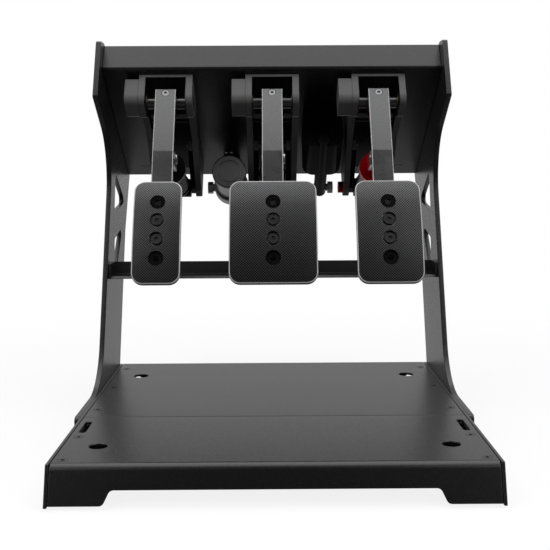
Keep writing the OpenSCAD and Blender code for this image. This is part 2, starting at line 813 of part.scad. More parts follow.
module pad_hole_places()
    for (row = [-1.5:1:1.5]) translate([0, 0, pad_hole_lift + row * pad_hole_pitch]) children();
module pad_screw_places()
    for (row = [-0.5, 0.5]) translate([0, 0, pad_hole_lift + row * pad_hole_pitch]) children();

// A cylinder across the pedal whose front face is the pad's bow, set back from it
module bow(inset) translate([0, pad_bow - pad_mount_d - pad_t, 0])
    round_x(-brake_pad_w, brake_pad_w, 2 * (pad_bow - inset), $fn = 720);

// Mount between the arm and the pad: a short closed frame, bowed to the pad's back
module pad_mount() {
    color("#3c3e42") on_pad() difference() {
        intersection() {
            translate([0, 0, pad_hole_lift]) across(-arm_w / 2, arm_w / 2, rounded([
                [-pad_mount_d - pad_t, -pad_mount_h / 2, 0],
                [0, -pad_mount_h / 2, 3],
                [0, pad_mount_h / 2, 3],
                [-pad_mount_d - pad_t, pad_mount_h / 2, 0]
            ]));
            bow(pad_t + run_gap);
        }
        translate([0, 0, pad_hole_lift]) across(-arm_w, arm_w, rounded([
            [pad_mount_wall + 2 - pad_mount_d, pad_mount_wall - pad_mount_h / 2, 4],
            [-pad_mount_wall, pad_mount_wall - pad_mount_h / 2, 4],
            [-pad_mount_wall, pad_mount_h / 2 - pad_mount_wall, 4],
            [pad_mount_wall + 2 - pad_mount_d, pad_mount_h / 2 - pad_mount_wall, 4]
        ]));
        pad_screw_places() round_y(-pad_mount_d - pad_t, 1, screw_d + 2 * seat_gap);
    }
}

// Pad: a bowed plate with round corners and a row of counterbored holes
pad_floor = 2.5;
module pad(w) {
    color("#1c1d1f") on_pad() difference() {
        intersection() {
            difference() {
                bow(0);
                bow(pad_t);
            }
            rotate([90, 0, 0]) linear_extrude(pad_mount_d + 2 * pad_t) polygon(rounded([
                [-w / 2, -pad_h / 2, pad_round],
                [w / 2, -pad_h / 2, pad_round],
                [w / 2, pad_h / 2, pad_round],
                [-w / 2, pad_h / 2, pad_round]
            ]));
        }
        pad_hole_places() {
            round_y(-pad_mount_d - 2 * pad_t, 0, screw_d + 2 * seat_gap);
            round_y(-pad_mount_d - 2 * pad_t, -pad_mount_d - pad_floor, pad_hole_d);
        }
    }
}

// A socket screw along Y with its head in front
module socket_screw(length, d, h) {
    difference() {
        union() {
            round_y(-h, 0, d);
            round_y(0, length, screw_d);
        }
        translate([0, -h - 1, 0]) rotate([-90, 0, 0]) cylinder(h = h, d = 5, $fn = 6);
    }
}

module pedal_screws() {
    color("#44464a") {
        on_pivot() translate([0, arm_front + arm_head_h, arm_screw_z])
            socket_screw(arm_t - arm_head_h + hub_screw_l, arm_head_d, arm_head_h);
        on_pad() pad_screw_places() translate([0, -pad_mount_d - pad_floor, 0])
            socket_screw(pad_floor + pad_mount_d + arm_t, head_d, head_h);
    }
}

module fork_pin() {
    color("#b5b7ba") translate([0, pin_u, -pin_v]) {
        round_x(-fork_out - 1, fork_out + side_gap, pin_d);
        round_x(fork_out + side_gap, fork_out + side_gap + pin_head_t, pin_d + 2 * pin_head_rim);
    }
}

// Fork at the front end of a strut, open around the arm's lug
module fork() {
    difference() {
        across(-fork_out, fork_out, rounded([
            [-strut_l - fork_r, -fork_r, fork_r - 0.1],
            [fork_l - strut_l, -fork_r, 2],
            [fork_l - strut_l, fork_r, 2],
            [-strut_l - fork_r, fork_r, fork_r - 0.1]
        ]));
        translate([-fork_in, -strut_l - 2 * fork_r, -2 * fork_r])
            cube([2 * fork_in, 2 * fork_r + fork_slot, 4 * fork_r]);
        translate([0, -strut_l, 0]) round_x(-fork_out - 1, fork_out + 1, pin_d + 2 * pin_play);
    }
}

module rod() {
    color("#b0b2b5") on_strut() {
        fork();
        round_y(rod_from, rod_tail, rod_d);
    }
}

// Trunnion block with a seat for the spring, bored for the rod
module trunnion() {
    color("#2f3134") on_strut() difference() {
        union() {
            round_x(side_gap - liner_in, liner_in - side_gap, trunnion_d);
            round_y(seat_front, 0, trunnion_d - 4);
            round_y(seat_front, seat_front + seat_t, spring_od + 2 * seat_rim);
        }
        round_y(seat_front - 1, trunnion_d, rod_d + 2 * run_gap);
        mirror_x() round_x(bolt_in, cheek_in, bolt_d + 2 * seat_gap);
    }
}

bolt_in = rod_d / 2 + 6;
bolt_head_d = 15;
bolt_head_t = 6;
bolt_key = 7;
module trunnion_bolts(tint) {
    head_in = cheek_out + side_gap;
    color(tint) on_strut() {
        difference() {
            union() {
                round_x(-head_in, -bolt_in, bolt_d);
                round_x(-head_in - bolt_head_t, -head_in, bolt_head_d);
            }
            bolt_socket(-head_in - bolt_head_t - 1);
        }
        difference() {
            round_x(bolt_in, cheek_out, bolt_d);
            bolt_socket(cheek_out - bolt_head_t / 2);
        }
    }
}
module bolt_socket(x) translate([x, 0, 0]) rotate([0, 90, 0])
    cylinder(h = bolt_head_t / 2 + 1, d = bolt_key, $fn = 6);

// Preload nut: a scalloped wheel on the rod in front of the spring
scallops = 8;
module preload_nut(tint) {
    color(tint) on_strut() difference() {
        union() {
            round_y(nut_y, nut_y + nut_t, nut_d);
            round_y(nut_y - 4, nut_y, rod_d + 10);
        }
        round_y(nut_y - 5, nut_y + nut_t + 1, rod_d + 2 * run_gap);
        for (i = [0:scallops - 1]) rotate([0, i * 360 / scallops, 0]) translate([nut_d / 2 + 2.5, 0, 0])
            round_y(nut_y - 1, nut_y + nut_t + 1, 10);
    }
}

// Spring: one unbroken wire, its ends straight for one wire diameter
curl_rings = 8;
wire_sides = 6;
coil_steps = curls * curl_rings;
coil_from = spring_from + wire_d;
coil_run = spring_to - spring_from - 2 * wire_d;
coil_rise = coil_run / curls;
function coil_point(i) = let(turn = 360 * i / curl_rings)
    [coil_r * cos(turn), coil_from + coil_run * i / coil_steps, coil_r * sin(turn)];
function coil_way(i) = let(turn = 360 * i / curl_rings)
    unit([-2 * PI * coil_r * sin(turn), coil_rise, 2 * PI * coil_r * cos(turn)]);
function coil_out(i) = let(turn = 360 * i / curl_rings) [cos(turn), 0, sin(turn)];
function wire_ring(p, way, out) = [for (k = [0:wire_sides - 1]) let(a = 360 * k / wire_sides)
    p + wire_d / 2 * (cos(a) * out + sin(a) * cross(way, out))];
axis_way = [0, 1, 0];
wire_rings = concat(
    [wire_ring(coil_point(0) - wire_d * axis_way, axis_way, coil_out(0))],
    [for (i = [0:coil_steps]) wire_ring(coil_point(i),
        i == 0 || i == coil_steps ? unit(coil_way(i) + axis_way) : coil_way(i), coil_out(i))],
    [wire_ring(coil_point(coil_steps) + wire_d * axis_way, axis_way, coil_out(coil_steps))]);
ring_total = len(wire_rings);
wire_points = [for (ring = wire_rings) each ring];
wire_faces = concat(
    [for (k = [1:wire_sides - 2]) [0, k, k + 1]],
    [for (j = [0:ring_total - 2], k = [0:wire_sides - 1]) let(
        a = j * wire_sides + k,
        b = j * wire_sides + (k + 1) % wire_sides)
        each [[a, a + wire_sides, b], [b, a + wire_sides, b + wire_sides]]],
    [for (k = [1:wire_sides - 2]) let(first = (ring_total - 1) * wire_sides)
        [first, first + k + 1, first + k]]);
wire_gap = min([for (i = [0:coil_steps], j = [i + curl_rings / 2:coil_steps])
    norm(coil_point(i) - coil_point(j))]) - wire_d;
echo(spring_least_gap = wire_gap);
module spring() color("#4a4c50") on_strut() polyhedron(wire_points, wire_faces);

// Brake master cylinder: a barrel closed at its trunnion eye
module brake_master_cylinder() {
    color("#3a3c40") on_strut() difference() {
        union() {
            round_x(side_gap - liner_in, liner_in - side_gap, trunnion_d);
            round_y(-master_l, 0, master_d);
        }
        round_y(-master_l - 1, -trunnion_d, master_bore + 2 * run_gap);
        round_x(-cheek_in, cheek_in, bolt_d + 2 * run_gap);
    }
}

module brake_gland() {
    color("#55585c") on_strut() difference() {
        round_y(-master_l - gland_t, -master_l, master_d);
        round_y(-master_l - gland_t - 1, -master_l + 1, rod_d + 2 * run_gap);
    }
}

module brake_pushrod() {
    color("#b0b2b5") on_strut() {
        fork();
        round_y(rod_from, piston_y + piston_t / 2, rod_d);
        round_y(piston_y, piston_y + piston_t, master_bore);
    }
}

// Long bolt through the brake's trunnion, the slave cylinder and the accumulator's tube
module brake_cross_bolt() {
    color("#7d8084") on_strut() {
        round_x(cross_left, cross_right, bolt_d);
        round_x(cross_left - cross_head_t, cross_left, bolt_head_d + 1);
        translate([cross_right, 0, 0]) rotate([0, 90, 0])
            cylinder(h = cross_head_t, d = bolt_head_d + 1, $fn = 6);
    }
}

// Slave cylinder left of the brake, with a foot under the deck and a boss for the long bolt
module on_slave() translate([slave_x, slave_u, -slave_v]) rotate([slave_rise, 0, 0]) children();
module slave_cylinder() {
    foot_v = slave_v - (slave_foot_set + slave_foot_l / 2) * tan(slave_rise) - slave_flange_d / 4;
    color("#a4a7aa") difference() {
        union() {
            on_slave() {
                round_y(slave_cap_t, slave_flange_y, slave_barrel_d);
                round_y(slave_flange_y, slave_flange_y + slave_flange_t, slave_flange_d);
            }
            translate([slave_x - slave_foot_w / 2, slave_u + slave_foot_set, -foot_v])
                cube([slave_foot_w, slave_foot_l, foot_v]);
        }
        on_slave() difference() {
            round_y(slave_flange_y - slave_seam, slave_flange_y, slave_flange_d);
            round_y(slave_cap_t, slave_flange_y + 1, slave_barrel_d - 2 * slave_seam);
        }
        translate([0, trunnion_u, -trunnion_v])
            round_x(slave_x - slave_flange_d, slave_x + slave_flange_d, bolt_d + 2 * run_gap);
    }
}

module slave_cap() {
    color("#4d4f53") on_slave() difference() {
        union() {
            round_y(slave_bevel, slave_cap_t, slave_cap_d);
            translate([0, slave_bevel, 0]) rotate([90, 0, 0])
                cylinder(h = slave_bevel, d1 = slave_cap_d, d2 = slave_cap_d - 2 * slave_bevel);
        }
        difference() {
            round_y(-1, 0.8, slave_cap_d * 0.67);
            round_y(-2, 2, slave_cap_d * 0.63);
        }
    }
}

// Accumulator right of the brake, seated under the deck around its tube
module accumulator() {
    half = accumulator_w / 2;
    color("#161719") translate([accumulator_x, accumulator_u, 0]) difference() {
        rotate([-90, 0, 0]) linear_extrude(accumulator_l) polygon(rounded([
            [-half, 0, 0],
            [half, 0, 0],
            [half, accumulator_h, 14],
            [-half, accumulator_h, 14]
        ]));
        translate([0, 0, -trunnion_v]) round_y(-1, accumulator_l + 1, tube_d + 2 * seat_gap);
    }
}

module accumulator_tube() {
    color("#1d1e20") translate([accumulator_x, 0, -trunnion_v]) difference() {
        round_y(accumulator_u - 4, trunnion_u + 10, tube_d);
        translate([0, trunnion_u, 0]) round_x(-tube_d, tube_d, bolt_d + 2 * run_gap);
    }
}

mirror([1, 0, 0]) upright();  // left_upright
upright();  // right_upright
mirror([1, 0, 0]) base_rail();  // left_base_rail
base_rail();  // right_base_rail
heel_plate();
rear_plate();
heel_screws();
upright_screws();
rubber_feet();
cross_bar();
pedal_deck();
bracket_screws();
controller_case();

pad_widths = [clutch_pad_w, brake_pad_w, throttle_pad_w];
for (i = [0:2]) at_pedal(i) {
    bracket();
    bearings();
    sensor_case();
    arm();
    axle();
    pad_mount();
    pad(pad_widths[i]);
    pedal_screws();
    fork_pin();
}

for (i = [0, 2]) at_pedal(i) {
    tint = i == 0 ? "#2b2d30" : "#a01018";
    trunnion();
    trunnion_bolts(tint);
    rod();
    preload_nut(tint);
    spring();
}

at_pedal(1) {
    brake_master_cylinder();
    brake_gland();
    brake_pushrod();
    brake_cross_bolt();
    slave_cylinder();
    slave_cap();
    accumulator();
    accumulator_tube();
}
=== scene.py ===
# %% [markdown]
# # A sim racing pedal set
# Three hanging pedals stand in a frame of folded, powder-coated steel. The imported model comes first,
# so that every piece made here shares its places with the one that moves in the simulation.

import json
from math import cos, pi, radians, sin

import bmesh
import bpy
import numpy as np
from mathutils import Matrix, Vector

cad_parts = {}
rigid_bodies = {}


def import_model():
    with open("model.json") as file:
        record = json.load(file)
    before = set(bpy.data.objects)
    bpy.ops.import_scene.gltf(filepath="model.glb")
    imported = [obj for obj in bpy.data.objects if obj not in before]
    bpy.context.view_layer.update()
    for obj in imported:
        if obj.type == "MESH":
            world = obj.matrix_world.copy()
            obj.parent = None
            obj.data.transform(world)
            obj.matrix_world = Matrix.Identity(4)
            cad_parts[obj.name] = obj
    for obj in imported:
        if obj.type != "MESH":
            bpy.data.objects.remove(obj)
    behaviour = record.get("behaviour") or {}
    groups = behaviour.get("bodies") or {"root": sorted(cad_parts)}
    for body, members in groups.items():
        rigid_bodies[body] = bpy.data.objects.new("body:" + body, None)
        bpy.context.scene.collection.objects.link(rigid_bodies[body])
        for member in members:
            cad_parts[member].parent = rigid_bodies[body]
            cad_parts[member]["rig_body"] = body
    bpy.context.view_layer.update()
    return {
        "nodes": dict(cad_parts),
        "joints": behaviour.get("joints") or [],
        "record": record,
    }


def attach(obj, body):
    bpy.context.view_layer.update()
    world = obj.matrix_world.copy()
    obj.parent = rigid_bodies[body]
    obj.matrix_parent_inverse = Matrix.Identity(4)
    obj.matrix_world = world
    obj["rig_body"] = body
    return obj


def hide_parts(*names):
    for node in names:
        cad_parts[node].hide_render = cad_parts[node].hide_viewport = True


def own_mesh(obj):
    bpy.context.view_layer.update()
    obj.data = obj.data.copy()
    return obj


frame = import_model()
MM = 0.001
PEDALS = ("clutch", "brake", "throttle")
SPRUNG = ("clutch", "throttle")
slot_of = {part["node"]: part["material_slot"] for part in frame["record"]["subparts"]}
joint_of = {joint["name"]: joint for joint in frame["joints"]}

# %% [markdown]
# The camera stands on the driver's side, a little above the pads, and looks slightly down. A long
# lens keeps the uprights nearly parallel, and the small roll is the tripod's.

# %% Camera
LOOK_DOWN, ROLL, TURN = 6.886, 0.3, -0.31  # degrees

scene = bpy.context.scene
scene.view_settings.view_transform = "Standard"
lens = bpy.data.cameras.new("view")
lens.sensor_width = 36
lens.lens = 59.9
camera = bpy.data.objects.new("view", lens)
camera.location = (-0.003, -1.0228, 0.2925)
camera.rotation_euler = (radians(90 - LOOK_DOWN), radians(ROLL), radians(TURN))
scene.collection.objects.link(camera)
scene.camera = camera
print("camera at", tuple(round(v, 3) for v in camera.location))

# %% [markdown]
# Light, finishes and repeated forms all come from node trees, and here they are written as sums.
# A small class wraps a node's socket, so that plain arithmetic on it adds Math nodes, and one method
# makes every other node from its type, settings and sockets.

# %% Node tools
WHITE = (1, 1, 1, 1)


class Value:
    """A number that varies. Arithmetic on it adds Math nodes to its tree."""

    def __init__(self, owner, socket):
        self.owner = owner
        self.socket = socket

    def math(self, operation, *terms):
        return self.owner.node("ShaderNodeMath", {"operation": operation}, dict(enumerate(terms)))

    def __add__(self, other):
        return self.math("ADD", self, other)

    def __sub__(self, other):
        return self.math("SUBTRACT", self, other)

    def __rsub__(self, other):
        return self.math("SUBTRACT", other, self)

    def __mul__(self, other):
        return self.math("MULTIPLY", self, other)

    def __truediv__(self, other):
        return self.math("DIVIDE", self, other)

    def __floordiv__(self, other):
        return self.math("FLOOR", self / other)

    def __mod__(self, other):
        return self.math("FLOORED_MODULO", self, other)

    def __lt__(self, other):
        return self.math("LESS_THAN", self, other)

    def __abs__(self):
        return self.math("ABSOLUTE", self)

    def __neg__(self):
        return 0 - self

    __radd__ = __add__
    __rmul__ = __mul__


class NodeTree:
    """A node tree whose nodes all come from one method."""

    def __init__(self, tree):
        self.tree = tree

    def node(self, kind, settings={}, sockets={}, output=0):
        made = self.tree.nodes.new(kind)
        for label, value in settings.items():
            setattr(made, label, value)
        for label, value in sockets.items():
            if isinstance(value, Value):
                self.tree.links.new(value.socket, made.inputs[label])
            else:
                made.inputs[label].default_value = value
        return Value(self, made.outputs[output]) if made.outputs else None

    def axes(self, place):
        split = self.node("ShaderNodeSeparateXYZ", {}, {0: place})
        return [Value(self, socket) for socket in split.socket.node.outputs]

    def rise(self, value, start, end, low, high, way="LINEAR"):
        """Goes from low to high as the value goes from start to end, and stays there."""
        return self.node("ShaderNodeMapRange", {"interpolation_type": way}, {
            "Value": value, "From Min": start, "From Max": end, "To Min": low, "To Max": high})

    def between(self, share, low, high):
        """A colour that goes from low to high with the share."""
        return self.node(
            "ShaderNodeMix", {"data_type": "RGBA"},
            {0: share, 6: (*low, 1), 7: (*high, 1)}, output=2)


def tone(level, tint=(1, 1, 1)):
    """A grey of that level, slightly tinted."""
    return tuple(level * part for part in tint)


print("node tools ready")

# %% [markdown]
# Black metal is drawn by what it reflects. A white sweep stands behind the set and a wide lamp hangs
# over it, while the room on the camera's side is dim: edges and tops catch the light, fronts stay dark.

# %% Studio
WALLS_START, WALLS_END = -0.2, 0.6  # the room brightens from front to back between these depths
SHADOW_FULL, SHADOW_GONE = 0.45, 0.9  # metres from the middle of the floor
GLOW_START, GLOW_FULL = 0.23, 0.31  # metres behind it
PAPER = 0.15
FLOOR_REACH = 6


def studio_world(front, back, sides, fill):
    """White to the camera. Reflections and fill see a room that is dim in front, brighter around it."""
    world = bpy.data.worlds.new("studio")
    world.use_nodes = True
    world.node_tree.nodes.clear()
    room = NodeTree(world.node_tree)
    across, along, _ = room.axes(room.node("ShaderNodeTexCoord", output="Generated"))
    depth = abs(across) * sides + along
    light = room.rise(depth, WALLS_START, WALLS_END, front, back, "SMOOTHSTEP")
    seen, mirrored, through = (
        room.node("ShaderNodeLightPath", output=ray)
        for ray in ("Is Camera Ray", "Is Glossy Ray", "Is Transmission Ray"))
    walls, air, sweep = (
        room.node("ShaderNodeBackground", {}, {"Color": WHITE, "Strength": strength})
        for strength in (light, fill, 1.0))
    sharp = mirrored.math("MAXIMUM", mirrored, through)
    around = room.node("ShaderNodeMixShader", {}, {0: sharp, 1: air, 2: walls})
    shown = room.node("ShaderNodeMixShader", {}, {0: seen, 1: around, 2: sweep})
    room.node("ShaderNodeOutputWorld", {}, {"Surface": shown})
    scene.world = world


def lamp(name, place, aim, size, power):
    """A rectangular soft lamp at a place, pointed at another."""
    light = bpy.data.lights.new(name, "AREA")
    light.shape = "RECTANGLE"
    light.size, light.size_y = size
    light.energy = power
    holder = bpy.data.objects.new(name, light)
    holder.location = place
    holder.rotation_euler = (Vector(aim) - Vector(place)).to_track_quat("-Z", "Y").to_euler()
    scene.collection.objects.link(holder)


def floor_material(shade, mirrored):
    """White paper to the camera, with some of its shadow near the set. Reflections see it lit behind."""
    material = bpy.data.materials.new("floor")
    material.use_nodes = True
    material.node_tree.nodes.clear()
    paper = NodeTree(material.node_tree)
    seen = paper.node("ShaderNodeLightPath", output="Is Camera Ray")
    mirror = paper.node("ShaderNodeLightPath", output="Is Glossy Ray")
    place = paper.node("ShaderNodeTexCoord", output="Object")
    away = paper.node("ShaderNodeVectorMath", {"operation": "LENGTH"}, {0: place}, "Value")
    shadow = paper.rise(away, SHADOW_FULL, SHADOW_GONE, shade, 0.0, "SMOOTHSTEP")
    lit = paper.rise(paper.axes(place)[1], GLOW_START, GLOW_FULL, 0.0, mirrored)
    tint = paper.between(seen, tone(PAPER), tone(1))
    sheet = paper.node("ShaderNodeBsdfDiffuse", {}, {"Color": tint})
    glow = paper.node("ShaderNodeEmission", {}, {"Color": WHITE})
    share = seen * (1 - shadow) + mirror * lit
    mixed = paper.node("ShaderNodeMixShader", {}, {0: share, 1: sheet, 2: glow})
    paper.node("ShaderNodeOutputMaterial", {}, {"Surface": mixed})
    return material


studio_world(front=0.04, back=0.6, sides=0.5, fill=0.02)
lamp("overhead", place=(0, 0.15, 1.9), aim=(0, 0.15, 0), size=(2.6, 2.1), power=36)
for side in (-1, 1):
    lamp(f"side_{side}", place=(side * 1.7, -1.5, 1.5), aim=(0, 0, 0.25), size=(1.7, 1.7), power=24)
lamp("front", place=(0, -1.4, 1.83), aim=(0, -0.1, 0.3), size=(2.6, 0.74), power=0.8)
sheet = bpy.data.meshes.new("floor")
corners = [(-1, -1, 0), (1, -1, 0), (1, 1, 0), (-1, 1, 0)]
sheet.from_pydata([Vector(corner) * FLOOR_REACH for corner in corners], [], [(0, 1, 2, 3)])
sheet.materials.append(floor_material(shade=0.14, mirrored=0.45))
floor = bpy.data.objects.new("floor", sheet)
scene.collection.objects.link(floor)

# %% [markdown]
# A finish is a material around one Principled shader. Its colour, roughness and relief vary over the
# surface, and what is the same all over is set on the shader's own sockets.

# %% Finish tools
class Finish(NodeTree):
    """A material built around one Principled shader."""

    def __init__(self, name, **fixed):
        self.material = bpy.data.materials.new(name)
        self.material.use_nodes = True
        super().__init__(self.material.node_tree)
        self.shader = self.tree.nodes["Principled BSDF"]
        for label, value in fixed.items():
            self.shader.inputs[label.replace("_", " ")].default_value = value

    def place(self, output="Object"):
        return self.node("ShaderNodeTexCoord", output=output)

    def noise(self, scale, detail, place=None):
        place = place or self.place()
        return self.node("ShaderNodeTexNoise", {}, {"Vector": place, "Scale": scale, "Detail": detail})

    def bump(self, height, depth, strength):
        return self.node(
            "ShaderNodeBump", {}, {"Height": height, "Distance": depth, "Strength": strength})

    def drive(self, **values):
        for label, value in values.items():
            self.tree.links.new(value.socket, self.shader.inputs[label.replace("_", " ")])
        return self.material


print("finish tools ready")

# %% [markdown]
# Powder coat is sprayed as dry dust and melted in an oven, which leaves a fine pebbled skin. Two
# grains of noise make it: a wide one for the skin's slow ripple and a tight one for its sparkle.

# %% Painted, rubber and plastic finishes
def powder_coat(name, dark, light):
    finish = Finish(name, Specular_IOR_Level=0.5)
    ripple = finish.noise(140, 3)
    grain = finish.noise(2600, 1)
    colour = finish.between(grain * 0.7 + ripple * 0.3, tone(dark), tone(light, (1, 1, 1.03)))
    relief = finish.bump(grain + ripple * 0.4, 0.12 * MM, 0.5)
    return finish.drive(Base_Color=colour, Roughness=grain * 0.1 + 0.22, Normal=relief)


def moulded(name, dark, light, roughness, grain_scale=1800, gloss=0.4):
    finish = Finish(name, Specular_IOR_Level=gloss)
    grain = finish.noise(grain_scale, 2)
    smudge = finish.noise(45, 2)
    colour = finish.between(grain * 0.5 + smudge * 0.5, tone(dark), tone(light))
    relief = finish.bump(grain, 0.1 * MM, 0.35)
    return finish.drive(Base_Color=colour, Roughness=smudge * 0.2 + roughness, Normal=relief)


print("painted finishes ready")

# %% [markdown]
# Anodised aluminium is bead-blasted first, so it is a metal with a soft, even grain. Turned steel
# keeps the tool's fine rings instead, drawn here as narrow bands along its length.

# %% Metal finishes
def anodised(name, dark, light, roughness, tint=(1, 1, 1)):
    finish = Finish(name, Metallic=1.0)
    blast = finish.noise(3200, 1)
    cloud = finish.noise(60, 2)
    colour = finish.between(blast * 0.6 + cloud * 0.4, tone(dark, tint), tone(light, tint))
    relief = finish.bump(blast, 0.04 * MM, 0.4)
    return finish.drive(Base_Color=colour, Roughness=cloud * 0.08 + roughness, Normal=relief)


def turned(name, dark, light, roughness, tint=(1, 1, 1), metal=1.0):
    finish = Finish(name, Metallic=metal)
    lengthwise = finish.node(
        "ShaderNodeMapping", {}, {"Vector": finish.place(), "Scale": (30, 1, 1)})
    rings = finish.noise(90, 4, lengthwise)
    smudge = finish.noise(50, 2)
    colour = finish.between(rings, tone(dark, tint), tone(light, tint))
    return finish.drive(Base_Color=colour, Roughness=smudge * 0.16 + roughness)


print("metal finishes ready")

# %% [markdown]
# The pads are faced with carbon in a plain weave: every tow passes over one and under the next, which
# draws a fine chequer. Each tow swells in its middle, under clear lacquer. The chequer's tones are
# painted
# sheen: lighter where a tow lies over, and lighter at each tow's crown.

# %% Woven carbon finish
def swell(count):
    """A round-backed tow at each whole number."""
    return abs(count.math("SINE", count * pi))


def woven(name, tow):
    finish = Finish(name, Metallic=1.0)
    across, up, _ = finish.axes(finish.place("UV"))
    over = (across // tow + up // tow) % 2 < 1
    height = over * swell(across / tow) + (1 - over) * swell(up / tow)
    # Painted sheen: tows that lie over are lighter, and so is each tow's crown.
    shade = over * 0.75 + height * 0.15 + finish.noise(700, 1) * 0.1
    colour = finish.between(shade, tone(0.002), tone(0.155, (1, 1, 1.02)))
    relief = finish.bump(height, 0.2 * MM, 0.12)
    return finish.drive(Base_Color=colour, Roughness=0.282 - over * 0.005, Normal=relief)


print("woven finish ready")

# %% [markdown]
# Each material slot of the record has one finish, from its darkest tone to its lightest. A few nodes
# differ from the rest of their slot: what hangs in the dark behind the pedals, which is black and also
# takes painted shade, the ground axles, the slave cylinder's cap and the cross bar. Two more finishes
# paint light: a highlight for edges and a near-black shade.

# %% Finishes in use
FINISHES = {
    "powder_coat": powder_coat("powder_coat", 0.004, 0.009),
    "black_anodised": moulded("black_anodised", 0.096, 0.126, 0.4, 3000, gloss=0.12),
    "black_steel": turned("black_steel", 0.006, 0.014, 0.25, metal=0.0),
    "rubber": moulded("rubber", 0.012, 0.022, 0.65, 900),
    "black_plastic": moulded("black_plastic", 0.006, 0.012, 0.45, gloss=0.3),
    "grey_anodised": anodised("grey_anodised", 0.24, 0.32, 0.39, (1, 1.01, 1.04)),
    "dark_anodised": anodised("dark_anodised", 0.093, 0.12, 0.24, (1, 1.005, 1.015)),
    "steel": turned("steel", 0.42, 0.6, 0.22),
    "bronze": turned("bronze", 0.06, 0.1, 0.35, (1, 0.8, 0.5)),
    "carbon_pad": woven("carbon_pad", 1.42 * MM),
    "red_anodised": anodised("red_anodised", 0.34, 0.46, 0.31, (1, 0.008, 0.02)),
    "spring_steel": turned("spring_steel", 0.1, 0.2, 0.28),
}
# A light grey that stays bright from every side: a painted highlight on the edges that carry it. On the
# pads' rims it also stands for bare milled metal.
bright_edge = turned("bright_edge", 0.45, 0.55, 0.4, metal=0.1)
# Near black and dull: painted shade inside the brackets and in the pads' empty holes, and the black of
# the parts in the dark, shaded as well.
deep_black = moulded("deep_black", 0.002, 0.005, 0.2, 3000, gloss=0.06)
ground = turned("ground", 0.09, 0.12, 0.22)
# Black parts that hang in the dark behind the pedals: the near-black, dull finish is their own black,
# with painted shade as well.
IN_THE_DARK = (
    "accumulator", "accumulator_tube", "clutch_trunnion", "throttle_trunnion",
    "clutch_trunnion_bolts", "clutch_preload_nut", "brake_master_cylinder", "brake_gland")
OWN = {
    "slave_cap": anodised("slave_cap", 0.16, 0.2, 0.34),
    "cross_bar": powder_coat("bar_coat", 0.018, 0.026),
    **dict.fromkeys(IN_THE_DARK, deep_black),
    **dict.fromkeys([f"{pedal}_axle" for pedal in PEDALS], ground),
}


def finish_of(node):
    """A node's own finish, or its slot's."""
    return OWN.get(node, FINISHES[slot_of[node]])


for name, node in frame["nodes"].items():
    node.data.materials.clear()
    node.data.materials.append(finish_of(name))
print(len(FINISHES), "finishes on", len(frame["nodes"]), "nodes")

# %% [markdown]
# A cut or cast edge is never a knife: a narrow round catches a line of light. These tools copy a
# node's mesh, join its corners, make its flat faces whole and round its sharp edges. The finished
# copy rides the node's body and is shown in its place.

# %% Rounding tools
SHARP, CREASE = radians(28), radians(40)
SAME_PLACE, SAME_PLANE = 0.001 * MM, radians(0.2)


def merged(node):
    """A copy of a node's mesh with its corners joined and each flat face in one piece."""
    mesh = bmesh.new()
    mesh.from_mesh(frame["nodes"][node].data)
    bmesh.ops.remove_doubles(mesh, verts=mesh.verts, dist=SAME_PLACE)
    bmesh.ops.dissolve_limit(mesh, angle_limit=SAME_PLANE, verts=mesh.verts, edges=mesh.edges)
    return mesh


def is_sharp(edge):
    return len(edge.link_faces) == 2 and edge.calc_face_angle(0) > SHARP


def round_edges(mesh, width, chosen=lambda edge: True, material=-1, crowded=False):
    """Rounds the sharp edges that chosen() accepts. Where they crowd together, the width gives way."""
    edges = [edge for edge in mesh.edges if is_sharp(edge) and chosen(edge)]
    bmesh.ops.bevel(
        mesh, geom=edges, offset=width, offset_type="OFFSET", segments=2, profile=0.5,
        affect="EDGES", clamp_overlap=crowded, material=material,
    )


def settled(made):
    """The object with its modifiers turned into a plain mesh."""
    graph = bpy.context.evaluated_depsgraph_get()
    data = bpy.data.meshes.new_from_object(made.evaluated_get(graph))
    made.modifiers.clear()
    made.data = data
    data.name = made.name
    return made


def smooth_object(name, mesh, materials):
    """A finished object from a bmesh: smooth, with its flat faces kept flat."""
    data = bpy.data.meshes.new(name)
    mesh.to_mesh(data)
    mesh.free()
    data.polygons.foreach_set("use_smooth", [True] * len(data.polygons))
    data.set_sharp_from_angle(angle=CREASE)
    made = bpy.data.objects.new(name, data)
    for material in materials:
        data.materials.append(material)
    scene.collection.objects.link(made)
    weight = made.modifiers.new("weight", "WEIGHTED_NORMAL")
    weight.keep_sharp = True
    return settled(made)


def stand_in(made, *nodes):
    """The piece rides the nodes' body and is shown in their place."""
    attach(made, frame["nodes"][nodes[0]]["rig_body"])
    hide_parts(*nodes)


print("rounding tools ready")

# %% [markdown]
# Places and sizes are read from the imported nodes, so nothing here is measured twice.

# %% Measuring tools
def every_pedal(*parts):
    """The nodes of that name that the pedals have."""
    names = [f"{pedal}_{part}" for pedal in PEDALS for part in parts]
    return [name for name in names if name in frame["nodes"]]


def points_of(node):
    return np.array([vert.co for vert in frame["nodes"][node].data.vertices])


def middle_of(points):
    return (points.max(0) + points.min(0)) / 2


def off_line(points, spot, way):
    """How far each point lies from the line that runs through a spot that way."""
    arms = points - spot
    return np.linalg.norm(arms - np.outer(arms @ way, way), axis=1)


print(len(every_pedal("bracket")), "brackets,", len(every_pedal("spring")), "springs")

# %% [markdown]
# A bracket is a casting with two cheeks. What lies between them is in deep shade, painted into its
# finish, and the lower rear corner of its head, in line with the sensor case beside it, takes a painted
# highlight. So do an arm's long edges.

